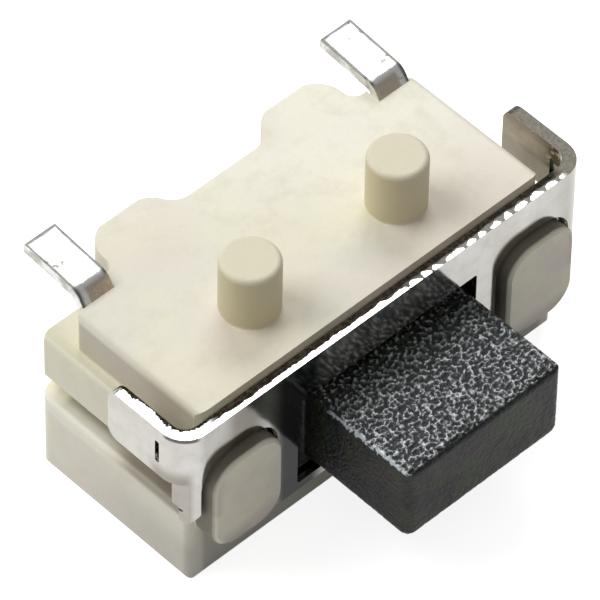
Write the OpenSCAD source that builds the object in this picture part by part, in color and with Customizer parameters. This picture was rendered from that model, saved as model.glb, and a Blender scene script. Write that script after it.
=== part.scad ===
// Side-push surface-mount tactile switch.
// +Z points out of the mounting plate and +Y away from the button. The origin lies on the mounting
// plate's face, midway between the two locating pegs.

/* [Housing] */
// Width of the mounting plate
plate_w = 4.0; // [3.8:0.05:4.2]
// Height from the flat underside to the mounting plate
body_h = 2.0; // [1.9:0.05:2.3]
// Depth of the mounting plate at its rear corners
plate_d = 1.56; // [1.5:0.01:1.65]
// Depth of the housing between a terminal and the lobe next to it
shoulder_d = 1.69; // [1.66:0.01:1.75]
// Depth of the housing between the rear lobes
waist_d = 1.86; // [1.8:0.01:1.95]
// Depth of the housing over the rear lobes
lobe_d = 2.13; // [2.08:0.01:2.3]
// Width of each rear lobe
lobe_w = 0.86; // [0.75:0.01:0.88]
// Distance between the middles of the rear lobes
lobe_pitch = 1.94; // [1.84:0.01:2.0]
// Rounding of the lobes' corners
lobe_r = 0.3; // [0.25:0.01:0.35]
// Fillet between the waist and each lobe
lobe_fillet_r = 0.22; // [0.1:0.01:0.25]
// Fillet between each lobe's outer side and the shoulder
shoulder_r = 0.12; // [0.05:0.01:0.15]
// Depth of the block below the ledge
block_d = 1.85; // [1.8:0.01:1.95]
// How far the ledge lies below the mounting plate
ledge_drop = 0.45; // [0.4:0.01:0.5]
// How far the ledge stands out from the plate's sides
ledge_w = 0.12; // [0.08:0.01:0.14]
// Height of the block between the ledge and the side groove
block_h = 0.51; // [0.45:0.01:0.55]
// Height of the side groove
groove_h = 0.19; // [0.17:0.01:0.24]
// Depth of the side groove, from the plate's sides inwards
groove_d = 0.05; // [0.02:0.01:0.08]
// How far the lower flange stands out from the plate's sides
flange_w = 0.18; // [0.13:0.01:0.2]
// Rounding of the housing's upright corners
corner_r = 0.1; // [0.05:0.01:0.15]
// Rounding of the block's upright corners at the back
rear_r = 0.18; // [0.1:0.01:0.25]
// Rounding of the plate's edges along its sides
plate_r = 0.09; // [0.03:0.01:0.1]
// Rounding of the lower flange's edges
flange_r = 0.06; // [0.04:0.01:0.1]
// Rounding of the housing's other edges
edge_r = 0.03; // [0.01:0.01:0.04]

/* [Locating pegs] */
// Distance between the two pegs
peg_pitch = 1.72; // [1.6:0.01:1.8]
// Diameter of a peg
peg_dia = 0.55; // [0.45:0.01:0.65]
// Height of a peg above the plate
peg_h = 0.6; // [0.4:0.01:0.8]
// Distance from the plate's front edge to the middle of the pegs
peg_inset = 0.6; // [0.5:0.01:0.7]
// Rounding of a peg's top edge
peg_edge = 0.05; // [0.02:0.01:0.08]

/* [Front lugs] */
// Width of each front lug
lug_w = 0.79; // [0.74:0.01:0.8]
// Height of each front lug
lug_h = 1.05; // [0.9:0.01:1.1]
// How far the lugs' tops lie below the mounting plate
lug_drop = 0.42; // [0.4:0.01:0.5]
// How far the lugs stand out in front of the cover
lug_proud = 0.12; // [0.05:0.01:0.2]
// Rounding of the lugs' corners
lug_r = 0.28; // [0.2:0.01:0.32]
// Bevel round the lugs' front edge
lug_edge = 0.03; // [0.02:0.005:0.05]

/* [Cover] */
// Thickness of the cover's sheet metal
sheet_t = 0.12; // [0.08:0.01:0.13]
// Air gap between the ledge and each side wing
wing_gap = 0.14; // [0.11:0.01:0.2]
// Air gap between the plate's front edge and the cover
front_gap = 0.09; // [0.07:0.01:0.12]
// How far the cover's top edge stands above the mounting plate
cover_rise = 0.04; // [0.02:0.01:0.1]
// Height of the strip above the window
strip_h = 0.46; // [0.42:0.01:0.5]
// Height of the sill below the window
sill_h = 0.09; // [0.06:0.01:0.2]
// Width of the upright between the window and a lug
upright_w = 0.24; // [0.2:0.01:0.3]
// Clearance between a lug and its cut-out
lug_gap = 0.045; // [0.02:0.005:0.05]
// Outside radius of the cover's bends
bend_r = 0.26; // [0.2:0.01:0.28]
// Height of the side wings
wing_h = 0.59; // [0.5:0.01:0.7]
// Reach of the side wings behind the cover's front face
wing_reach = 0.93; // [0.7:0.01:1.1]
// Rounding of the wings' corners
wing_r = 0.12; // [0.05:0.01:0.2]
// Width of the arm that runs down outside each lug
arm_w = 0.1; // [0.08:0.01:0.12]
// How far the claw at the foot of each arm reaches back into the side groove
claw_reach = 0.22; // [0.16:0.01:0.26]
// Distance from the cover's front face to the relief slit beside each bend
slit_inset = 0.3; // [0.28:0.01:0.34]
// Width of the relief slit
slit_w = 0.05; // [0.03:0.01:0.08]
// Height of the relief slit
slit_h = 0.26; // [0.15:0.01:0.35]

/* [Button] */
// Width of the button's nose
nose_w = 1.82; // [1.6:0.01:1.9]
// Height of the button's nose
nose_h = 0.87; // [0.75:0.01:0.9]
// How far the nose stands out in front of the cover
nose_reach = 1.14; // [0.6:0.01:1.4]
// Rounding of the nose's edges
nose_r = 0.07; // [0.03:0.01:0.09]
// Clearance between the window and the nose at each side
side_gap = 0.14; // [0.1:0.01:0.18]
// Clearance between the window and the top of the nose
top_gap = 0.14; // [0.05:0.01:0.18]
// Clearance between the window and the underside of the nose
base_gap = 0.06; // [0.04:0.01:0.1]
// How far the button sits to the right in its window
nose_shift = 0.06; // [0:0.01:0.06]
// How far the retaining flange reaches past the window on every side
collar_lap = 0.12; // [0.1:0.01:0.13]
// Thickness of the retaining flange
collar_t = 0.21; // [0.18:0.01:0.24]
// Diameter of the pusher on the flange's back
pusher_dia = 0.44; // [0.3:0.01:0.6]

/* [Terminals] */
// Thickness of the terminals' strip
lead_t = 0.1; // [0.08:0.01:0.12]
// Width of the terminals' strip
lead_w = 0.36; // [0.3:0.01:0.38]
// Distance between the plate's side and a terminal
lead_inset = 0.085; // [0.06:0.005:0.1]
// Reach of the terminals behind the plate's front edge
lead_reach = 2.28; // [2.2:0.01:2.4]
// Height of the solder face above the mounting plate, at its root
lead_rise = 0.13; // [0.05:0.01:0.18]
// How steeply the solder faces climb towards their tips, in degrees
lead_tilt = 6; // [0:1:8]
// How deep the terminals run inside the housing, below the plate
lead_sink = 0.2; // [0.15:0.01:0.22]
// Distance along the plate from a terminal's root bend to its inner bend
lead_ramp = 0.22; // [0.15:0.01:0.3]
// Inside radius of the terminals' bends
lead_bend = 0.05; // [0.03:0.01:0.08]

/* [Contacts] */
// Diameter of the contact dome
dome_dia = 1.2; // [1.1:0.01:1.22]
// Height of the contact dome
dome_h = 0.22; // [0.18:0.01:0.24]
// Thickness of the contact dome
dome_t = 0.04; // [0.03:0.01:0.05]
// Width of the film over the dome
film_w = 1.9; // [1.6:0.01:2.2]
// Thickness of the film over the dome
film_t = 0.04; // [0.02:0.01:0.05]
// Diameter of the centre contact pad
pad_dia = 0.36; // [0.2:0.01:0.4]
// Diameter of each pad under the dome's rim
rim_pad_dia = 0.12; // [0.08:0.01:0.14]
// Width of the bars that carry the pads
bar_w = 0.18; // [0.14:0.01:0.2]
// Depth of plastic over those bars
bar_cover = 0.05; // [0.03:0.01:0.08]
// Clearance between pieces that slide or seat
slide_gap = 0.02; // [0.01:0.005:0.025]

/* [Hidden] */
$fn = 48;

cream = [0.90, 0.88, 0.80];
steel = [0.78, 0.79, 0.80];
silver = [0.86, 0.87, 0.87];
spring_metal = [0.74, 0.74, 0.72];
amber = [0.80, 0.52, 0.16];
black = [0.10, 0.10, 0.11];
reach = 10; // longer than any cut through the part

// Planes across the switch, front to back
plate_front = -peg_inset;
cover_back = plate_front - front_gap;
cover_front = cover_back - sheet_t;
block_front = cover_back + slide_gap;
lug_front = cover_front - lug_proud;
nose_front = cover_front - nose_reach;
collar_back = block_front + collar_t;
travel = slide_gap + dome_h - dome_t;
film_front = collar_back + travel + slide_gap / 2;
film_back = film_front + film_t;
pusher_tip = film_front - slide_gap;
pad_face = film_back + slide_gap + dome_h;
pocket_floor = pad_face + slide_gap / 2;
bar_front = pocket_floor + bar_cover;
root_bend = plate_front + plate_d + lead_t - slide_gap;

// Levels, from the mounting plate down
block_base = -ledge_drop - block_h;
flange_top = block_base - groove_h;
window_top = cover_rise - strip_h;
nose_top = window_top - top_gap;
nose_base = nose_top - nose_h;
window_base = nose_base - base_gap;
cover_base = window_base - sill_h;
wing_base = cover_rise - wing_h;
claw_base = block_base - slide_gap - sheet_t;
dome_level = (window_top + window_base) / 2;

// Places across the width
side = plate_w / 2;
block_side = side + ledge_w;
flange_side = side + flange_w;
groove_side = side - groove_d;
cover_side = block_side + wing_gap + sheet_t;
window_side = nose_w / 2 + side_gap;
upright_side = window_side + upright_w;
lug_inner = upright_side + lug_gap;
lug_outer = lug_inner + lug_w;
arm_inner = lug_outer + lug_gap;
arm_outer = arm_inner + arm_w;
collar_side = window_side + collar_lap;
collar_rise = (window_top - window_base) / 2 + collar_lap;
lead_outer = side - lead_inset;
lead_inner = lead_outer - lead_w;

// Rectangle with round corners between two opposite corners
module rounded(low, high, r) {
    translate([low[0] + r, low[1]]) square([high[0] - low[0] - 2 * r, high[1] - low[1]]);
    translate([low[0], low[1] + r]) square([high[0] - low[0], high[1] - low[1] - 2 * r]);
    for (x = [low[0] + r, high[0] - r], y = [low[1] + r, high[1] - r]) translate([x, y]) circle(r);
}

// Plain rectangle between two opposite corners
module box(low, high) {
    translate(low) square(high - low);
}

// Plan outline, raised between two levels
module raise(low, high) {
    translate([0, 0, low]) linear_extrude(high - low) children();
}

// Outline seen from the front, drawn out from one depth to another
module deepen(near, back) {
    translate([0, back, 0]) rotate([90, 0, 0]) linear_extrude(back - near) children();
}

// Outline seen from the right, drawn out from one side to the other
module widen(left, right) {
    translate([left, 0, 0]) rotate([90, 0, 90]) linear_extrude(right - left) children();
}

// A shape on the right and its mirror image on the left
module both_sides() {
    children();
    mirror([1, 0, 0]) children();
}

function unit(v) = v / norm(v);
// Direction of a path's stretch from point i to the next
function along(path, i) = unit(path[i + 1] - path[i]);
// Angle by which a path turns to the left at point i
function turn(path, i) =
    atan2(cross(along(path, i - 1), along(path, i)), along(path, i - 1) * along(path, i));
// Sideways step from point i of a path that keeps the same distance from both its stretches
function mitre(path, i) =
    let (before = along(path, max(i, 1) - 1),
         after = along(path, min(i, len(path) - 2)),
         both = before + after)
    [-both[1], both[0]] / (1 + before * after);
function sharp_sheet(path, t) = concat(
    [for (i = [0:len(path) - 1]) path[i] + mitre(path, i) * t / 2],
    [for (i = [len(path) - 1:-1:0]) path[i] - mitre(path, i) * t / 2]);

// Puts a shape at the centre of a round bend, with the x axis pointing at the bend's start
module at_bend(path, i, r) {
    heading = along(path, i - 1);
    outward = [heading[1], -heading[0]] * sign(turn(path, i));
    centre = path[i] - heading * r * tan(abs(turn(path, i)) / 2) - outward * r;
    translate(centre) rotate(atan2(outward[1], outward[0])) children();
}

// Corner that a round bend about the origin replaces
module corner(r, angle) {
    polygon([[0, 0], [r, 0], [r, r * tan(angle / 2)], r * [cos(angle), sin(angle)]]);
}

// Bent sheet metal seen edge-on, along the middle of its thickness, with round bends
module bent_sheet(path, t, bend) {
    middle = bend + t / 2;
    difference() {
        union() {
            polygon(sharp_sheet(path, t));
            for (i = [1:len(path) - 2]) at_bend(path, i, middle) difference() {
                corner(middle, turn(path, i));
                circle(bend);
            }
        }
        for (i = [1:len(path) - 2]) at_bend(path, i, middle) difference() {
            corner(bend + 2 * t, turn(path, i));
            circle(bend + t);
        }
    }
}

// Rear edge that the plate and the block share: waist, shoulders and two round lobes
module rear_outline(near) {
    inner = (lobe_pitch - lobe_w) / 2;
    box([-lead_inner, near], [lead_inner, plate_front + shoulder_d]);
    box([-lobe_pitch / 2, near], [lobe_pitch / 2, plate_front + waist_d]);
    both_sides() {
        rounded([inner, near], [inner + lobe_w, plate_front + lobe_d], lobe_r);
        lobe_fillet([inner + lobe_r, plate_front + lobe_d - lobe_r], plate_front + waist_d);
        translate([inner + lobe_w, plate_front + shoulder_d]) difference() {
            box([-shoulder_r, -shoulder_r], [shoulder_r, shoulder_r]);
            translate([shoulder_r, shoulder_r]) circle(shoulder_r);
        }
    }
}

// Fillet between the waist and a lobe's round corner
module lobe_fillet(corner, waist) {
    rise = waist + lobe_fillet_r - corner[1];
    foot = corner[0] - sqrt(pow(lobe_r + lobe_fillet_r, 2) - rise * rise);
    difference() {
        polygon([[foot, waist - lobe_fillet_r], [corner[0], waist - lobe_fillet_r],
                 corner, [foot, waist + lobe_fillet_r]]);
        translate([foot, waist + lobe_fillet_r]) circle(lobe_fillet_r);
    }
}

module plate_outline() {
    rounded([-side, plate_front], [side, plate_front + plate_d], corner_r);
    rear_outline(plate_front + corner_r);
}

module block_outline() {
    rounded([-flange_side, block_front], [flange_side, plate_front + block_d / 2], corner_r);
    rounded([-flange_side, block_front + corner_r], [flange_side, plate_front + block_d], rear_r);
    rear_outline(block_front + corner_r);
}

// The housing's sides seen from the front: plate, ledge, block, groove and flange
module stepped_sides() {
    rounded([-side, -ledge_drop - plate_r * 2], [side, 0], plate_r);
    rounded([-block_side, block_base], [block_side, -ledge_drop], edge_r * 1.5);
    box([-groove_side, flange_top - flange_r], [groove_side, block_base + edge_r * 2]);
    rounded([-flange_side, -body_h], [flange_side, flange_top], flange_r);
}

module housing_shell() {
    intersection() {
        union() {
            raise(-ledge_drop, 0) plate_outline();
            raise(-body_h, -ledge_drop) block_outline();
        }
        deepen(-reach, reach) stepped_sides();
        widen(-reach, reach) {
            rounded([block_front, -body_h], [plate_front + lobe_d, 0], edge_r);
        }
    }
}

module lug() {
    hull() {
        deepen(lug_front + lug_edge, plate_front + lug_edge)
            rounded([lug_inner, -lug_drop - lug_h], [lug_outer, -lug_drop], lug_r);
        deepen(lug_front, lug_front + lug_edge)
            rounded([lug_inner + lug_edge, -lug_drop - lug_h + lug_edge],
                    [lug_outer - lug_edge, -lug_drop - lug_edge], lug_r - lug_edge);
    }
}

module peg() {
    rotate_extrude() {
        box([0, -ledge_drop / 2], [peg_dia / 2, peg_h - peg_edge]);
        box([0, -ledge_drop / 2], [peg_dia / 2 - peg_edge, peg_h]);
        intersection() {
            translate([peg_dia / 2 - peg_edge, peg_h - peg_edge]) circle(peg_edge);
            box([0, 0], [peg_dia, peg_h]);
        }
    }
}

// Room for the button's flange, with the round well of the dome behind it
module pocket() {
    width = collar_side + nose_shift + slide_gap;
    rise = collar_rise + slide_gap;
    deepen(-reach, film_back) rounded([-width, dome_level - rise], [width, dome_level + rise], corner_r);
    translate([0, film_back - corner_r, dome_level]) rotate([-90, 0, 0])
        cylinder(r = dome_dia / 2 + slide_gap, h = pocket_floor - film_back + corner_r);
}

module housing() {
    color(cream) difference() {
        union() {
            housing_shell();
            both_sides() {
                lug();
                translate([peg_pitch / 2, 0, 0]) peg();
            }
        }
        pocket();
        both_sides() deepen(block_front, plate_front + corner_r)
            box([groove_side, flange_top], [reach, block_base]);
        left_lead();
        right_lead();
    }
}

// Contact pad that stands through the pocket's floor
module pad(x, z, dia) {
    translate([x, pad_face, z]) rotate([-90, 0, 0]) cylinder(d = dia, h = bar_front - pad_face + lead_t / 2);
}

// Right-hand strip from its solder tip down the ramp and forward to the contact bars
module lead_strip() {
    tip = plate_front + lead_reach;
    face = lead_rise - lead_t / 2;
    sunk = -lead_sink - lead_t / 2;
    widen(lead_inner, lead_outer) bent_sheet([[tip, face + (tip - root_bend) * tan(lead_tilt)],
                                              [root_bend, face],
                                              [root_bend - lead_ramp, sunk],
                                              [bar_front, sunk]], lead_t, lead_bend);
}

// The left terminal ends in the centre contact
module left_lead() {
    mirror([1, 0, 0]) {
        lead_strip();
        deepen(bar_front, bar_front + lead_t) {
            box([lead_inner, dome_level - bar_w / 2], [lead_outer, -lead_sink]);
            box([0, dome_level - bar_w / 2], [lead_outer, dome_level + bar_w / 2]);
            translate([0, dome_level]) circle(d = pad_dia);
        }
    }
    pad(0, dome_level, pad_dia);
}

// The right terminal ends in an open ring with three pads under the dome's rim
module right_lead() {
    ring_r = (dome_dia - rim_pad_dia) / 2;
    lead_strip();
    deepen(bar_front, bar_front + lead_t) {
        box([lead_inner, dome_level - bar_w / 2], [lead_outer, -lead_sink]);
        box([ring_r, dome_level - bar_w / 2], [lead_outer, dome_level + bar_w / 2]);
        translate([0, dome_level]) difference() {
            circle(ring_r + bar_w / 2);
            circle(ring_r - bar_w / 2);
            box([-reach, -bar_w], [0, bar_w]);
        }
    }
    for (turn = [0:120:240]) pad(ring_r * cos(turn), dome_level + ring_r * sin(turn), rim_pad_dia);
}

module left_terminal() {
    color(silver) left_lead();
}

module right_terminal() {
    color(silver) right_lead();
}

module contact_dome() {
    rim = dome_dia / 2;
    ball = (rim * rim + dome_h * dome_h) / (2 * dome_h);
    color(spring_metal) translate([0, pad_face, dome_level]) rotate([90, 0, 0]) rotate_extrude()
        intersection() {
            translate([0, dome_h - ball]) difference() {
                circle(ball);
                circle(ball - dome_t);
            }
            box([0, 0], [rim, dome_h]);
        }
}

module contact_film() {
    color(amber) deepen(film_front, film_back)
        rounded([-film_w / 2, dome_level - collar_rise], [film_w / 2, dome_level + collar_rise], corner_r);
}

module button() {
    left = nose_shift - nose_w / 2;
    right = nose_shift + nose_w / 2;
    root = collar_back + nose_r;
    color(black) {
        intersection() {
            deepen(nose_front, collar_back) rounded([left, nose_base], [right, nose_top], nose_r);
            raise(-reach, reach) rounded([left, nose_front], [right, root], nose_r);
            widen(-reach, reach) rounded([nose_front, nose_base], [root, nose_top], nose_r);
        }
        deepen(block_front, collar_back)
            rounded([nose_shift - collar_side, dome_level - collar_rise],
                    [nose_shift + collar_side, dome_level + collar_rise], corner_r);
        translate([0, collar_back, dome_level]) rotate([-90, 0, 0])
            cylinder(d = pusher_dia, h = pusher_tip - collar_back);
    }
}

// The cover seen from the front, with its window and the arches over the lugs
module cover_face() {
    difference() {
        union() {
            box([-cover_side, wing_base], [cover_side, cover_rise]);
            box([-arm_outer, claw_base + sheet_t + edge_r], [arm_outer, cover_rise]);
            rounded([-upright_side, cover_base], [upright_side, cover_rise], edge_r);
        }
        rounded([-window_side, window_base], [window_side, window_top], edge_r);
        both_sides()
            rounded([upright_side, cover_base - lug_h], [arm_inner, lug_gap - lug_drop], lug_r + lug_gap);
    }
}

// The cover seen from the right: front, and a wing with round corners
module cover_edge() {
    box([cover_front, cover_base], [cover_front + bend_r, cover_rise]);
    box([cover_front, wing_base], [cover_front + bend_r + wing_r, cover_rise]);
    rounded([cover_front, wing_base], [cover_front + wing_reach, cover_rise], wing_r);
}

module cover_outline() {
    rounded([-cover_side, cover_front], [cover_side, reach], bend_r);
}

// Claw at the foot of each arm, bent back and inwards into the housing's side groove
module claw() {
    middle = (cover_front + cover_back) / 2;
    level = claw_base + sheet_t / 2;
    tip = [groove_side + slide_gap, block_front + claw_reach];
    intersection() {
        raise(-reach, reach) cover_outline();
        union() {
            widen(arm_inner, arm_outer) bent_sheet([[middle, block_base + edge_r * 2], [middle, level],
                                                    [block_front + edge_r, level]], sheet_t, edge_r);
            raise(claw_base, claw_base + sheet_t)
                polygon([[arm_inner, block_front], [arm_outer, block_front],
                         [arm_outer, block_front + edge_r], tip + [arm_w, 0], tip]);
        }
    }
}

module cover() {
    slit_front = cover_front + slit_inset;
    wing_level = (cover_rise + wing_base) / 2;
    color(steel) {
        difference() {
            intersection() {
                raise(cover_base, cover_rise) difference() {
                    cover_outline();
                    rounded([sheet_t - cover_side, cover_back], [cover_side - sheet_t, reach],
                            bend_r - sheet_t);
                }
                deepen(-reach, reach) cover_face();
                widen(-reach, reach) cover_edge();
            }
            widen(-reach, reach) rounded([slit_front, wing_level - slit_h / 2],
                                         [slit_front + slit_w, wing_level + slit_h / 2], slit_w / 3);
        }
        both_sides() claw();
    }
}

housing();
left_terminal();
right_terminal();
contact_dome();
contact_film();
button();
cover();
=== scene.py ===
import math

import bmesh
import bpy
from mathutils import Matrix, Vector


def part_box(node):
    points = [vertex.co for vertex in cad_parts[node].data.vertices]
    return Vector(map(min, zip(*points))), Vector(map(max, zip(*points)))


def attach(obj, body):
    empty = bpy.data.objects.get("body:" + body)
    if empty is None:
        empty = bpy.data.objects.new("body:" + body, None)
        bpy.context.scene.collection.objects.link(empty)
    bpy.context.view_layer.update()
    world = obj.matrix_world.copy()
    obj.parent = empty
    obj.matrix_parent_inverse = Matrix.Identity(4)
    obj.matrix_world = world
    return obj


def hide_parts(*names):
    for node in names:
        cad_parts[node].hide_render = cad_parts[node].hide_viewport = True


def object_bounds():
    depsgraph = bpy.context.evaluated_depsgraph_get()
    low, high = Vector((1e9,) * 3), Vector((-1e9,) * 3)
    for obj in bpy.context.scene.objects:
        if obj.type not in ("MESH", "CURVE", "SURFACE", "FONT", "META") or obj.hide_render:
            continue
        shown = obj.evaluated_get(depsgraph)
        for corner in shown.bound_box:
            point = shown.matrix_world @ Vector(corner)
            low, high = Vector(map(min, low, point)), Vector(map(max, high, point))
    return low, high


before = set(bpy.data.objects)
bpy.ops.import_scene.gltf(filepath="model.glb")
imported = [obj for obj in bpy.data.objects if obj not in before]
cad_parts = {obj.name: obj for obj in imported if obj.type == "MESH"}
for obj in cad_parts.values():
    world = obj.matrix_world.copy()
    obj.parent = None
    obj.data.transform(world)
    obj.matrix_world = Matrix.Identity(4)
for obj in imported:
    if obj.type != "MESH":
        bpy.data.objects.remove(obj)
cad_low, cad_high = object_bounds()

MM = 0.001


def low_corner(node):
    """Lowest corner of a CAD node, in millimetres."""
    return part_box(node)[0] / MM


def high_corner(node):
    """Highest corner of a CAD node, in millimetres."""
    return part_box(node)[1] / MM


# Places on the switch, in millimetres. The mounting plate's face is Z = 0, the pegs stand on it at Y = 0,
# and the button points to -Y.
LUG_FRONT = low_corner("housing").y
PEG_TOP = high_corner("housing").z
PLATE_FRONT = -0.6
PLATE_SIDE = 2.0
LEDGE = -0.45
BLOCK_FRONT = -0.67
BLOCK_BASE = -0.96
FLANGE_TOP = -1.15

COVER_FRONT = low_corner("cover").y
COVER_SIDE = high_corner("cover").x
COVER_TOP = high_corner("cover").z
# Radius of the bends between the cover's front and its wings, at the outer face
BEND = 0.26

STRIP_SIDE = high_corner("right_terminal").x
STRIP_END = high_corner("right_terminal").y
STRIP_WIDTH = 0.36

NOSE_FRONT = low_corner("button").y
NOSE_TOP = -0.56
NOSE_BASE = -1.43
NOSE_LEFT = -0.85
NOSE_RIGHT = 0.97
# Radius of the nose's upright and lower edges
NOSE_ROUND = 0.1

# ---------------------------------------------------------------- camera

VIEW_AZIMUTH = -44.907
VIEW_ELEVATION = 49.387
VIEW_ROLL = 1.518
VIEW_DISTANCE = 66.17 * MM
# Point that the camera's distance is measured from, and where it looks beside that point
VIEW_CENTRE = Vector((0, -0.2, -0.8)) * MM
VIEW_ASIDE = -0.3261 * MM
VIEW_ABOVE = 0.2342 * MM
SENSOR = 36.0
LENS = 464.04


def placed(name, data):
    """A new object in the scene, at the origin."""
    made = bpy.data.objects.new(name, data)
    bpy.context.scene.collection.objects.link(made)
    return made


def view_axes(azimuth, elevation, roll):
    """Unit vectors from the object to the camera, to the picture's right and to its top."""
    a, e, r = (math.radians(angle) for angle in (azimuth, elevation, roll))
    back = Vector((math.sin(a) * math.cos(e), -math.cos(a) * math.cos(e), math.sin(e)))
    level = Vector((math.cos(a), math.sin(a), 0))
    rise = back.cross(level)
    right = level * math.cos(r) + rise * math.sin(r)
    return back, right, back.cross(right)


def make_camera():
    back, right, above = view_axes(VIEW_AZIMUTH, VIEW_ELEVATION, VIEW_ROLL)
    place = VIEW_CENTRE + back * VIEW_DISTANCE
    aim = VIEW_CENTRE + right * VIEW_ASIDE + above * VIEW_ABOVE
    back = (place - aim).normalized()
    right = above.cross(back).normalized()
    above = back.cross(right)
    data = bpy.data.cameras.new("camera")
    data.sensor_width = SENSOR
    data.lens = LENS
    data.clip_start = 1 * MM
    data.clip_end = 2.0
    camera = placed("camera", data)
    camera.matrix_world = Matrix((
        (right.x, above.x, back.x, place.x),
        (right.y, above.y, back.y, place.y),
        (right.z, above.z, back.z, place.z),
        (0, 0, 0, 1),
    ))
    bpy.context.scene.camera = camera


# ---------------------------------------------------------------- nodes

def add_node(tree, kind, settings, inputs, output=0):
    """Adds a node, sets it, gives its sockets values or links, and gives back one of its outputs."""
    made = tree.nodes.new(kind)
    for name, value in settings.items():
        setattr(made, name, value)
    for name, value in inputs.items():
        feed(tree, made.inputs[name], value)
    return made.outputs[output]


def feed(tree, socket, value):
    """Links a socket to another node's output, or gives it a fixed value."""
    if isinstance(value, bpy.types.NodeSocket):
        tree.links.new(value, socket)
    else:
        socket.default_value = value


class Tone:
    """A shader socket that takes part in Python arithmetic."""

    def __init__(self, finish, socket):
        self.finish = finish
        self.socket = socket

    def math(self, operation, first, second):
        return self.finish.node("ShaderNodeMath", {"operation": operation}, {0: first, 1: second})

    def __add__(self, other):
        return self.math("ADD", self, other)

    __radd__ = __add__

    def __mul__(self, other):
        return self.math("MULTIPLY", self, other)

    __rmul__ = __mul__

    def __sub__(self, other):
        return self.math("SUBTRACT", self, other)

    def __rsub__(self, other):
        return self.math("SUBTRACT", other, self)

    def __pow__(self, power):
        return self.math("POWER", self, power)

    def __abs__(self):
        return self.math("ABSOLUTE", self, 0)

    def at_least(self, other):
        return self.math("MAXIMUM", self, other)

    def at_most(self, other):
        return self.math("MINIMUM", self, other)

    def back_and_forth(self):
        """Rises from 0 to 1 and falls back to 0, over every 2 units."""
        return self.math("PINGPONG", self, 1.0)


class Finish:
    """A material. Its x, y and z are the place on the piece, in millimetres.

    Colours that are mixed are given as they look on screen, from 0 to 255.
    """

    def __init__(self, name, **fixed):
        self.material = bpy.data.materials.new(name)
        self.material.use_nodes = True
        self.tree = self.material.node_tree
        self.shader = self.tree.nodes["Principled BSDF"]
        self.drive(**fixed)
        self.place = self.node("ShaderNodeMapping", {}, {
            "Vector": self.node("ShaderNodeTexCoord", {}, {}, "Object"),
            "Scale": (1 / MM, 1 / MM, 1 / MM),
        })
        self.x, self.y, self.z = (
            self.node("ShaderNodeSeparateXYZ", {}, {"Vector": self.place}, axis) for axis in "XYZ")

    def node(self, kind, settings, inputs, output=0):
        """Adds any node and gives back one of its outputs as a tone."""
        plain = {name: getattr(value, "socket", value) for name, value in inputs.items()}
        return Tone(self, add_node(self.tree, kind, settings, plain, output))

    def drive(self, **inputs):
        """Feeds the surface shader's own sockets."""
        for name, value in inputs.items():
            feed(self.tree, self.shader.inputs[name.replace("_", " ")], getattr(value, "socket", value))

    def noise(self, per_mm, detail=2.0, roughness=0.5, stretch=None, seed=0.0):
        """Noise from 0 to 1 with so many lumps to the millimetre."""
        place = self.place
        if stretch or seed:
            place = self.node("ShaderNodeMapping", {}, {
                "Vector": place, "Scale": stretch or (1, 1, 1), "Location": (seed, seed, seed),
            })
        return self.node("ShaderNodeTexNoise", {}, {
            "Vector": place, "Scale": per_mm, "Detail": detail, "Roughness": roughness,
        })

    def step(self, value, low, high):
        """0 below low, 1 above high and a smooth rise between."""
        return self.node("ShaderNodeMapRange", {"interpolation_type": "SMOOTHSTEP"}, {
            "Value": value, "From Min": low, "From Max": high,
        })

    def fall(self, value, low, high):
        """1 below low, 0 above high and a smooth fall between."""
        return 1 - self.step(value, low, high)

    def band(self, value, rise, fall):
        """1 between a rise and a fall, each given by its low and its high end."""
        return self.step(value, *rise) * self.fall(value, *fall)

    def blend(self, factor, first, second):
        """Mixes two colours."""
        return self.node("ShaderNodeMix", {"data_type": "RGBA"}, {
            "Factor": factor, 6: as_colour(first), 7: as_colour(second),
        }, 2)

    def paint(self, base, *layers):
        """Lays colours over a base. Each layer is a mask, its strength and its colour."""
        for mask, strength, colour in layers:
            base = self.blend(mask * strength, base, colour)
        return base

    def bump(self, height, depth, strength):
        """Normal of a relief whose full height is depth, in millimetres."""
        return self.node("ShaderNodeBump", {}, {
            "Height": height, "Distance": depth * MM, "Strength": strength,
        }, "Normal")


def as_colour(value):
    """A tone as it is, or the scene colour of an 8-bit screen colour."""
    if isinstance(value, Tone):
        return value
    return (*(linear(level / 255) for level in value), 1)


def linear(level):
    """Scene level of a screen level."""
    return level / 12.92 if level <= 0.04 else ((level + 0.055) / 1.055) ** 2.4


# ---------------------------------------------------------------- finishes

def cream_plastic():
    """Moulded plastic, with painted shade in the gaps beside the cover and down the sides, and painted
    light on parts of the top.
    """
    finish = Finish("cream_plastic", IOR=1.5)
    grain = finish.noise(26.0, 3.0, 0.6)
    ripples = finish.noise(3.0, seed=3.0)
    tone = mottled_cream(finish)
    tone = stepped_sides(finish, tone)
    tone = shaded_front(finish, tone)
    finish.drive(
        Base_Color=finish.paint(tone, (finish.step(grain, 0.5, 0.8), 0.1, (200, 192, 170))),
        Roughness=grain * 0.16 + 0.42,
        Normal=finish.bump(ripples * 0.8 + grain * 0.2, 0.012, 0.6),
    )
    return finish.material


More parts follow.
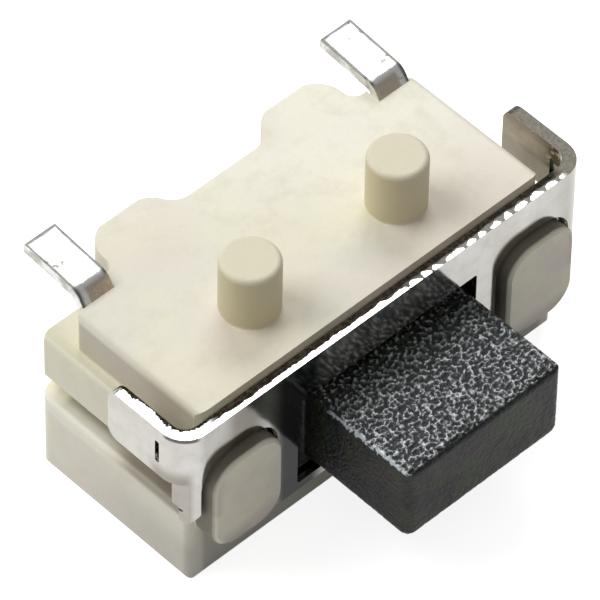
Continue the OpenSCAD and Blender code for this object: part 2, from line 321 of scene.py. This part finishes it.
def mottled_cream(finish):
    """The plastic's own clouds and speckles; painted light whitens the plate's far corner, and the pegs are
    painted yellower and darker, partly as painted shade, with paler tops.
    """
    clouds = finish.noise(0.9, 3.0, 0.55)
    drift = finish.noise(0.7, seed=7.0)
    mottle = finish.noise(4.5, 3.0, 0.6, seed=11.0)
    upper_face = finish.step(finish.z, -0.06, -0.02)
    # Painted light: the upper face whiter towards the plate's far corner.
    lit_far_corner = finish.step(finish.x * 0.5 + finish.y * 0.8, 0.1, 1.2) * upper_face
    # Pegs painted yellower and darker, partly as painted shade; their tops painted paler again.
    pegs = finish.step(finish.z, 0.004, 0.03)
    peg_tops = finish.step(finish.z, PEG_TOP - 0.06, PEG_TOP)
    return finish.paint(
        (241, 237, 211),
        (finish.step(clouds, 0.35, 0.65), 1.0, (234, 231, 217)),
        (lit_far_corner, 0.7, (255, 252, 236)),
        (finish.step(drift, 0.42, 0.66), 0.6, (240, 227, 212)),
        (finish.step(mottle, 0.45, 0.75), 0.35, (222, 214, 190)),
        (pegs, 0.8, (208, 196, 156)),
        (peg_tops, 0.85, (232, 226, 200)),
    )


def stepped_sides(finish, tone):
    """Painted shade down the sides: the plate, the block, the groove under it and the flange, with painted
    light on the flange's top edge.
    """
    aside, y, z = abs(finish.x), finish.y, finish.z
    forward = finish.fall(y, -0.4, 0.9)
    past_plate = finish.step(aside, PLATE_SIDE, PLATE_SIDE + 0.1)
    block_starts = (BLOCK_FRONT, BLOCK_FRONT + 0.05)
    plate = finish.step(aside, PLATE_SIDE - 0.015, PLATE_SIDE - 0.002)
    plate = plate * finish.band(z, (LEDGE - 0.01, LEDGE + 0.05), (-0.12, -0.06))
    block = finish.band(z, (BLOCK_BASE - 0.04, BLOCK_BASE + 0.02), (LEDGE - 0.05, LEDGE + 0.05))
    groove = finish.band(z, (FLANGE_TOP - 0.02, FLANGE_TOP - 0.005), (BLOCK_BASE - 0.06, BLOCK_BASE - 0.02))
    groove = groove * finish.step(aside, PLATE_SIDE - 0.1, PLATE_SIDE - 0.06)
    groove = groove * finish.fall(aside, PLATE_SIDE + 0.1, PLATE_SIDE + 0.16)
    groove = groove * finish.band(y, block_starts, (0.95, 1.05))
    rim = finish.band(z, (FLANGE_TOP - 0.09, FLANGE_TOP - 0.02), (FLANGE_TOP + 0.09, FLANGE_TOP + 0.15))
    rim = rim * finish.band(y, block_starts, (0.0, 0.4))
    lit_brim = finish.band(z, (FLANGE_TOP - 0.19, FLANGE_TOP - 0.09), (FLANGE_TOP + 0.02, FLANGE_TOP + 0.05))
    lit_brim = lit_brim * finish.step(y, 0.1, 0.5)
    shaded_foot = finish.fall(z, -1.7, -1.3)
    # Painted shade on the plate's side wall, in the groove, on the ledge's rim, on the block below the wing
    # and low on the sides towards the front.
    return finish.paint(
        tone,
        (plate, 0.55, (172, 158, 140)),
        (groove * (forward * 0.3 + 0.65), 1.0, (150, 142, 126)),
        (past_plate * rim, 0.85, (150, 142, 126)),
        (past_plate * block * (forward * 0.35 + 0.1), 1.0, (196, 186, 164)),
        # Painted light on the flange's top edge.
        (past_plate * lit_brim, 0.6, (255, 252, 240)),
        (past_plate * shaded_foot * forward, 0.5, (186, 184, 176)),
    )


def shaded_front(finish, tone):
    """Shade under the cover's sill, round the lugs and in the gap between plate and cover."""
    aside, y, z = abs(finish.x), finish.y, finish.z
    under_sill = finish.fall(y, BLOCK_FRONT + 0.01, BLOCK_FRONT + 0.05) * finish.fall(z, -1.5, -1.2)
    under_sill = under_sill * finish.fall(aside, PLATE_SIDE - 0.02, PLATE_SIDE + 0.08)
    lug_rims = finish.step(y, LUG_FRONT + 0.008, LUG_FRONT + 0.05)
    lug_rims = lug_rims * finish.fall(y, BLOCK_FRONT - 0.03, BLOCK_FRONT - 0.01)
    gap_wall = finish.step(y, PLATE_FRONT - 0.05, PLATE_FRONT - 0.02)
    gap_wall = gap_wall * finish.fall(y, PLATE_FRONT + 0.002, PLATE_FRONT + 0.02)
    gap_wall = gap_wall * finish.band(z, (LEDGE - 0.02, LEDGE), (-0.14, -0.06))
    lug_faces = finish.fall(y, LUG_FRONT + 0.004, LUG_FRONT + 0.02)
    tints = finish.noise(2.6, seed=21.0)
    return finish.paint(
        tone,
        (under_sill, 0.8, (158, 156, 146)),
        (lug_rims.at_least(gap_wall), 0.88, (102, 95, 82)),
        (lug_faces * finish.step(tints, 0.45, 0.7), 0.5, (226, 208, 204)),
    )


def depth_in_sheet(finish):
    """Distance in millimetres from the cover's outer face into its sheet."""
    aside = abs(finish.x) - (COVER_SIDE - BEND)
    ahead = (COVER_FRONT + BEND) - finish.y
    beyond = (aside.at_least(0) ** 2 + ahead.at_least(0) ** 2) ** 0.5
    return BEND - beyond - aside.at_least(ahead).at_most(0)


def rolled_steel():
    """The sheet's bright rolled faces, smeared in places, olive with pale flecks inside the right bend,
    greyer at the front's right end and with a dark burr at the left front top. Painted shade darkens the
    left wing, the left arm and the front's left end, and the nose's reflection is painted beside it.
    """
    finish = Finish("rolled_steel", Metallic=1.0)
    x, y, z = finish.x, finish.y, finish.z
    left = x * -1
    rolling = finish.noise(6.0, 4.0, 0.6, stretch=(0.12, 0.12, 9.0))
    waves = finish.noise(1.6, seed=4.0)
    smears = finish.noise(4.0, 4.0, 0.65, seed=9.0)
    flecks = finish.noise(17.0, seed=19.0)
    front = finish.fall(y, COVER_FRONT + 0.03, COVER_FRONT + 0.07)
    left_wing = finish.step(left, COVER_SIDE - 0.08, COVER_SIDE - 0.02)
    left_arm = finish.step(left, 2.2, 2.3) * finish.fall(z, -0.52, -0.34) * finish.fall(y, -0.5, -0.35)
    left_end = front * finish.band(x, (-1.95, -1.75), (-1.6, -1.4))
    right_end = finish.step(x, 1.85, 2.15) * finish.fall(y, -0.7, -0.6)
    painted_nose_reflection = front * finish.band(x, (-1.42, -1.2), (-0.9, -0.7))
    right_bend = finish.step(x, 2.02, 2.12) * finish.fall(y, -0.5, -0.36) * finish.step(z, -0.3, -0.2)
    inner_face = finish.step(depth_in_sheet(finish), 0.05, 0.09)
    flecked = finish.blend(finish.step(flecks, 0.52, 0.58), (92, 88, 66), (250, 248, 240))
    burr = finish.step(z, COVER_TOP - 0.055, COVER_TOP - 0.035)
    burr = burr * finish.step(left, 2.16, 2.22) * finish.fall(y, -0.6, -0.54)
    finish.drive(
        Base_Color=finish.paint(
            (224, 222, 217),
            (finish.step(smears, 0.3, 0.75), 1.0, (206, 203, 195)),
            # Painted shade on the left wing; the front's right end greyer.
            ((left_wing * 0.5).at_least(right_end), 0.6, (186, 184, 174)),
            # Painted shade on the left arm and the front's left end.
            (left_arm.at_least(left_end), 0.8, (150, 143, 132)),
            # Painted reflection of the dark nose.
            (painted_nose_reflection, 0.92, (46, 52, 54)),
            (right_bend * inner_face, 0.8, flecked),
            (burr, 0.85, (70, 64, 60)),
        ),
        Roughness=smears * 0.06 + 0.07,
        Normal=finish.bump(waves * 0.95 + rolling * 0.05, 0.012, 0.6),
    )
    return finish.material


def sheared_steel():
    """The sheet's cut edges: burnished by the punch at the outer face, torn behind. The torn part's
    near-black is partly painted shade, the left wing's top is painted bright as a painted highlight, and
    the right wing's top is painted dull as painted shade.
    """
    finish = Finish("sheared_steel", Metallic=1.0)
    x = finish.x
    tears = finish.noise(8.5, 3.0, 0.7, seed=2.0)
    pits = finish.noise(30.0, 2.0, 0.6, seed=5.0)
    wander = finish.noise(3.0, seed=15.0)
    depth = depth_in_sheet(finish) + (tears - 0.5) * 0.07
    top = finish.step(finish.z, COVER_TOP - 0.04, COVER_TOP - 0.02)
    # Painted shade: the right wing's top painted dull. Painted highlight: the left wing's top painted
    # bright across the sheet.
    shaded_right_wing_top = finish.step(x, 2.0, 2.15) * top
    left_wing = finish.step(x * -1, 1.9, 2.15) * top
    left_wing = left_wing * finish.fall(depth + (tears - 0.5) * 0.08, 0.08, 0.095)
    rougher = finish.step(x, -0.3, 0.8)
    beads = (x * 12.0 + wander * 5).back_and_forth()
    ragged = rougher * (beads ** 2 * 0.075 + (pits - 0.5) * 0.04)
    burnished = finish.fall(abs(depth - 0.014) + ragged, 0.034, 0.042)
    bright = burnished.at_least(left_wing) * (1 - shaded_right_wing_top)
    dull = finish.blend(finish.step(pits, 0.35, 0.7), (96, 93, 86), (108, 105, 96))
    finish.drive(
        Base_Color=finish.paint(
            # Near-black torn part, partly painted shade.
            (24, 21, 18),
            (finish.step(pits, 0.4, 0.65), 1.0, (52, 45, 37)),
            (finish.fall(depth, 0.05, 0.072) * rougher, 1.0, (108, 106, 100)),
            (shaded_right_wing_top, 1.0, dull),
            (bright, 1.0, (244, 243, 240)),
        ),
        Roughness=0.42 - bright * 0.24,
        Normal=finish.bump(tears * 0.5 + pits * 0.5, 0.02, 0.5),
    )
    return finish.material


def plated_strip():
    """Silver plating, rougher along the strip's borders, which are painted darker as painted reflection,
    and painted tan down the ramp as painted shade.
    """
    finish = Finish("plated_strip", Metallic=1.0)
    aside, y = abs(finish.x), finish.y
    dents = finish.noise(3.4, 3.0, 0.6, seed=5.0)
    grain = finish.noise(30.0, 3.0, 0.6)
    spots = finish.noise(11.0, seed=23.0)
    inward = aside - (STRIP_SIDE - STRIP_WIDTH)
    border = inward.at_most(STRIP_SIDE - aside).at_most(STRIP_END - 0.015 - y)
    # Painted reflection darkens the strip's borders, which are also rougher.
    dark_and_dull_border = finish.fall(border + (dents - 0.5) * 0.03, 0.018, 0.05)
    # Painted shade down the ramp.
    ramp = finish.fall(y, 1.0, 1.04) * finish.fall(inward, 0.25, 0.28)
    finish.drive(
        Base_Color=finish.paint(
            (250, 250, 248),
            (finish.step(spots, 0.6, 0.7), 0.9, (118, 120, 104)),
            (dark_and_dull_border, 0.85, (84, 84, 80)),
            (ramp, 1.0, (212, 198, 182)),
        ),
        Roughness=grain * 0.12 + 0.2 + dark_and_dull_border * 0.15,
        Normal=finish.bump(dents * 0.9 + grain * 0.1, 0.016, 0.7),
    )
    return finish.material


def slit_strip():
    """The strip's cut sides."""
    finish = Finish("slit_strip", Metallic=1.0)
    dents = finish.noise(5.0, 3.0, 0.6, seed=8.0)
    finish.drive(
        Base_Color=finish.blend(finish.step(dents, 0.4, 0.6), (246, 245, 242), (196, 194, 186)),
        Roughness=dents * 0.2 + 0.3,
        Normal=finish.bump(dents, 0.012, 0.6),
    )
    return finish.material


def black_plastic():
    """Black plastic, mottled olive and mauve, whose lumps catch the light on the nose's upper face. The
    glints on the lumps and the line along the left top edge are painted highlights, the upper face is
    painted lighter, and the left side and the top-front edge are painted darker as painted shade.
    """
    finish = Finish(
        "black_plastic", IOR=1.52, Specular_IOR_Level=0.3, Coat_IOR=1.9, Coat_Roughness=0.15)
    x, y, z = finish.x, finish.y, finish.z
    relief = finish.node("ShaderNodeAttribute", {"attribute_name": "relief"}, {}, "Fac")
    grain = finish.noise(30.0, 3.0, 0.6)
    specks = finish.noise(30.0, seed=17.0)
    patches = finish.noise(3.6, 3.0, 0.6, seed=6.0)
    stains = finish.noise(2.4, seed=13.0)
    below_top = (z - NOSE_TOP) ** 2
    from_left_edge = ((x - NOSE_LEFT) ** 2 + below_top) ** 0.5
    from_front_edge = ((y - NOSE_FRONT) ** 2 + below_top) ** 0.5
    # Painted highlight along the left top edge.
    painted_edge_highlight = finish.fall(from_left_edge + (specks - 0.5) * 0.09, 0.036, 0.048) * finish.fall(y, -1.0, -0.9)
    upper = finish.step(z, NOSE_TOP - 0.07, NOSE_TOP - 0.04) * finish.fall(y, -0.95, -0.85)
    # Painted shade on the left side.
    shaded_left_side = finish.fall(x, NOSE_LEFT - 0.01, NOSE_LEFT + 0.02)
    # Painted glints on the lumps.
    painted_glints = finish.step(relief, 0.6, 1.0) * finish.step(specks, 0.44, 0.56) * (patches * 1.3 + 0.1)
    finish.drive(
        Base_Color=finish.paint(
            (24, 28, 28),
            (finish.step(patches, 0.4, 0.62), 1.0, (52, 58, 40)),
            (finish.step(stains, 0.5, 0.66), 0.5, (58, 42, 48)),
            (shaded_left_side, 0.5, (20, 20, 22)),
            # Painted light: the upper face lighter.
            (upper, 1.0, (46, 51, 52)),
            # Painted shade along the top-front edge.
            (finish.fall(from_front_edge, 0.05, 0.09), 0.8, (10, 11, 11)),
            ((painted_glints * 0.9).at_least(painted_edge_highlight), 1.0, (196, 202, 206)),
        ),
        Roughness=grain * 0.2 + 0.28,
        Coat_Weight=upper * finish.step(relief + (specks - 0.5) * 0.8, 0.3, 0.55),
        Normal=finish.bump(grain, 0.02, 0.8),
    )
    return finish.material


def spring_steel():
    """The dome's rolled sheet."""
    finish = Finish("spring_steel", Metallic=1.0)
    rolling = finish.noise(8.0, 3.0, 0.6, stretch=(0.2, 1.0, 6.0))
    finish.drive(
        Base_Color=finish.blend(rolling, (205, 205, 200), (180, 178, 170)),
        Roughness=rolling * 0.15 + 0.2,
        Normal=finish.bump(rolling, 0.003, 0.5),
    )
    return finish.material


def amber_film():
    """The streaky film before the dome."""
    finish = Finish("amber_film", IOR=1.6)
    streaks = finish.noise(4.0, 3.0, 0.5, stretch=(0.3, 1.0, 1.0))
    finish.drive(
        Base_Color=finish.blend(streaks, (214, 150, 60), (196, 128, 42)),
        Roughness=streaks * 0.15 + 0.2,
        Normal=finish.bump(streaks, 0.004, 0.5),
    )
    return finish.material


# ---------------------------------------------------------------- pieces

# Points closer than WELD become one, and so do faces that turn by less than FLAT
WELD = 0.0004
FLAT = math.radians(0.6)
# Edges that turn by more than this are rounded
SHARP = math.radians(32)


def loose_copy(node):
    """A CAD node's shape as a closed mesh in millimetres, with its flat faces whole."""
    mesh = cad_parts[node].data.copy()
    mesh.transform(Matrix.Scale(1 / MM, 4))
    for name in [layer.name for layer in mesh.attributes if layer.name == "custom_normal"]:
        mesh.attributes.remove(mesh.attributes[name])
    shape = bmesh.new()
    shape.from_mesh(mesh)
    bmesh.ops.remove_doubles(shape, verts=shape.verts, dist=WELD)
    bmesh.ops.dissolve_limit(shape, angle_limit=FLAT, verts=shape.verts, edges=shape.edges)
    shape.to_mesh(mesh)
    shape.free()
    mesh.materials.clear()
    return mesh


def modifier(piece, kind, **settings):
    made = piece.modifiers.new(kind.lower(), kind)
    for name, value in settings.items():
        setattr(made, name, value)
    return made


def apply_modifiers(piece):
    bpy.context.view_layer.update()
    evaluated = piece.evaluated_get(bpy.context.evaluated_depsgraph_get())
    mesh = bpy.data.meshes.new_from_object(evaluated)
    piece.modifiers.clear()
    piece.data = mesh


def settle(piece):
    """Applies a piece's modifiers and brings it from millimetres to metres."""
    apply_modifiers(piece)
    piece.data.transform(Matrix.Scale(MM, 4))


def soften(piece, edge):
    """Rounds sharp edges, as moulding or barrelling leaves them."""
    for face in piece.data.polygons:
        face.use_smooth = True
    modifier(piece, "BEVEL", width=edge, segments=3, limit_method="ANGLE", angle_limit=SHARP,
             miter_outer="MITER_ARC", use_clamp_overlap=True)
    modifier(piece, "WEIGHTED_NORMAL", keep_sharp=True)


def hand_over(piece, node, body):
    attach(piece, body)
    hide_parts(node)


def make_moulded_housing():
    mesh = loose_copy("housing")
    mesh.materials.append(cream_plastic())
    piece = placed("moulded_housing", mesh)
    soften(piece, edge=0.026)
    settle(piece)
    hand_over(piece, "housing", "switch_body")


def make_plated_terminal(node, plating, cut):
    mesh = loose_copy(node)
    mesh.materials.append(plating)
    mesh.materials.append(cut)
    for face in mesh.polygons:
        face.material_index = int(abs(face.normal.x) > 0.9)
    piece = placed("plated_" + node, mesh)
    soften(piece, edge=0.014)
    settle(piece)
    hand_over(piece, node, "switch_body")


def is_cut_edge(face):
    """Whether a face of the cover is the thickness of its sheet."""
    if abs(face.normal.z) > 0.5:
        on_claw = face.center.z <= BLOCK_BASE + 0.06 and abs(face.center.x) >= PLATE_SIDE
        return not on_claw
    aside = abs(face.center.x) - (COVER_SIDE - BEND)
    ahead = (COVER_FRONT + BEND) - face.center.y
    across = Vector((max(aside, 0) * math.copysign(1, face.center.x), -max(ahead, 0), 0))
    if across.length == 0:
        return abs(face.normal.y) > 0.5
    return abs(face.normal.dot(across.normalized())) < 0.5


def make_pressed_cover():
    mesh = loose_copy("cover")
    mesh.materials.append(rolled_steel())
    mesh.materials.append(sheared_steel())
    for face in mesh.polygons:
        face.material_index = int(is_cut_edge(face))
    piece = placed("pressed_cover", mesh)
    soften(piece, edge=0.012)
    settle(piece)
    hand_over(piece, "cover", "switch_body")


def grain_tree():
    """Geometry Nodes that raise the mould's grain: coarse on the upper face, faint elsewhere."""
    tree = bpy.data.node_groups.new("moulded_grain", "GeometryNodeTree")
    sockets = tree.interface
    sockets.new_socket("Geometry", in_out="INPUT", socket_type="NodeSocketGeometry")
    for name in ("Coarse depth", "Fine depth", "Lumps per mm", "Face height"):
        sockets.new_socket(name, in_out="INPUT", socket_type="NodeSocketFloat")
    sockets.new_socket("Finish", in_out="INPUT", socket_type="NodeSocketMaterial")
    sockets.new_socket("Geometry", in_out="OUTPUT", socket_type="NodeSocketGeometry")

    def node(kind, settings, inputs, output=0):
        return add_node(tree, kind, settings, inputs, output)

    def work_out(operation, first, second):
        return node("ShaderNodeMath", {"operation": operation}, {0: first, 1: second})

    given = tree.nodes.new("NodeGroupInput").outputs
    place = node("GeometryNodeInputPosition", {}, {})
    facing = node("GeometryNodeInputNormal", {}, {})
    height = node("ShaderNodeSeparateXYZ", {}, {0: place}, "Z")
    upward = node("ShaderNodeSeparateXYZ", {}, {0: facing}, "Z")
    lumps = node("ShaderNodeTexNoise", {}, {
        "Vector": place, "Scale": given["Lumps per mm"], "Detail": 2.0, "Roughness": 0.5})
    relief = node("ShaderNodeMapRange", {"interpolation_type": "SMOOTHSTEP"}, {
        "Value": lumps, "From Min": 0.42, "From Max": 0.57})
    above = work_out("SUBTRACT", height, given["Face height"])
    level = node("ShaderNodeMapRange", {}, {"Value": above, "From Min": -0.05, "From Max": -0.02})
    flat = node("ShaderNodeMapRange", {}, {"Value": upward, "From Min": 0.6, "From Max": 0.9})
    coarse = work_out("MULTIPLY", level, flat)
    depth = node("ShaderNodeMapRange", {}, {
        "Value": coarse, "To Min": given["Fine depth"], "To Max": given["Coarse depth"]})
    sunk = work_out("SUBTRACT", work_out("MULTIPLY", relief, depth), depth)
    offset = node("ShaderNodeVectorMath", {"operation": "SCALE"}, {0: facing, "Scale": sunk})
    marked = node("GeometryNodeStoreNamedAttribute", {"data_type": "FLOAT", "domain": "POINT"}, {
        "Geometry": given["Geometry"],
        "Name": "relief",
        "Value": work_out("MULTIPLY", relief, coarse),
    })
    raised = node("GeometryNodeSetPosition", {}, {"Geometry": marked, "Offset": offset})
    smooth = node("GeometryNodeSetShadeSmooth", {}, {0: raised})
    whole = node("GeometryNodeRealizeInstances", {}, {0: smooth})
    dressed = node("GeometryNodeSetMaterial", {}, {0: whole, "Material": given["Finish"]})
    tree.links.new(dressed, tree.nodes.new("NodeGroupOutput").inputs[0])
    return tree


def round_nose(mesh):
    """Rounds the nose's upright and lower edges in front of the cover."""
    # Each face of the nose: its axis, its place on that axis and the way it faces
    faces = ((0, NOSE_LEFT, -1), (0, NOSE_RIGHT, 1), (1, NOSE_FRONT, -1), (2, NOSE_BASE, -1))
    for vertex in mesh.vertices:
        if vertex.co.y < COVER_FRONT:
            depths = [max(side * (vertex.co[axis] - face) + NOSE_ROUND, 0) for axis, face, side in faces]
            far = math.hypot(*depths)
            for (axis, face, side), depth in zip(faces, depths):
                if far > NOSE_ROUND and depth > 0:
                    vertex.co[axis] = face + side * NOSE_ROUND * (depth / far - 1)


def make_moulded_button():
    piece = placed("moulded_button", loose_copy("button"))
    modifier(piece, "BEVEL", width=0.03, segments=2, limit_method="ANGLE", angle_limit=SHARP)
    modifier(piece, "REMESH", mode="VOXEL", voxel_size=0.0135)
    apply_modifiers(piece)
    round_nose(piece.data)
    modifier(piece, "SMOOTH", factor=0.5, iterations=10)
    grain = modifier(piece, "NODES", node_group=grain_tree())
    values = {
        "Coarse depth": 0.02,
        "Fine depth": 0.003,
        "Lumps per mm": 27.0,
        "Face height": NOSE_TOP,
        "Finish": black_plastic(),
    }
    for socket in grain.node_group.interface.items_tree:
        if socket.name in values:
            grain[socket.identifier] = values[socket.name]
    settle(piece)
    hand_over(piece, "button", "push_button")


def make_pieces():
    make_moulded_housing()
    plating, cut = plated_strip(), slit_strip()
    make_plated_terminal("left_terminal", plating, cut)
    make_plated_terminal("right_terminal", plating, cut)
    make_pressed_cover()
    make_moulded_button()
    for node, material in (("contact_dome", spring_steel()), ("contact_film", amber_film())):
        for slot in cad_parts[node].material_slots:
            slot.material = material


# ---------------------------------------------------------------- floor and light

FLOOR_REACH = 0.5
FLOOR_GAP = 0.002 * MM
LAMP_DISTANCE = 0.15


def make_floor():
    mesh = bpy.data.meshes.new("floor")
    level = cad_low.z - FLOOR_GAP
    corners = [(x * FLOOR_REACH, y * FLOOR_REACH, level) for x, y in ((-1, -1), (1, -1), (1, 1), (-1, 1))]
    mesh.from_pydata(corners, [], [(0, 1, 2, 3)])
    placed("floor", mesh)
    finish = Finish("white_floor", Base_Color=(0.7, 0.7, 0.7, 1), Roughness=0.9, Emission_Strength=1.0)
    seen = finish.node("ShaderNodeLightPath", {}, {}, "Is Camera Ray")
    mirrored = finish.node("ShaderNodeLightPath", {}, {}, "Is Glossy Ray")
    finish.drive(Emission_Color=seen * 0.82 + mirrored * 0.42)
    mesh.materials.append(finish.material)


def make_lamp(name, direction, size, radiance):
    """A square soft box that faces the object."""
    data = bpy.data.lights.new(name, "AREA")
    data.shape = "SQUARE"
    data.size = size
    data.energy = radiance * size * size * math.pi
    lamp = placed(name, data)
    direction = Vector(direction).normalized()
    lamp.location = direction * LAMP_DISTANCE
    lamp.rotation_mode = "QUATERNION"
    lamp.rotation_quaternion = direction.to_track_quat("Z", "Y")


def make_world():
    """White to the camera, and weaker as light on the object."""
    world = bpy.data.worlds.new("studio")
    world.use_nodes = True
    bpy.context.scene.world = world
    tree = world.node_tree
    seen = add_node(tree, "ShaderNodeLightPath", {}, {}, "Is Camera Ray")
    strength = add_node(tree, "ShaderNodeMapRange", {}, {"Value": seen, "To Min": 0.3, "To Max": 1.0})
    background = tree.nodes["Background"]
    feed(tree, background.inputs["Color"], (1, 1, 1, 1))
    feed(tree, background.inputs["Strength"], strength)


def make_studio():
    bpy.context.scene.view_settings.view_transform = "Standard"
    make_floor()
    make_world()
    make_lamp("key", (-0.45, 0.55, 0.8), size=0.1, radiance=4.0)
    make_lamp("behind", (0.5, 0.5, 0.75), size=0.083, radiance=3.4)


make_camera()
make_pieces()
make_studio()
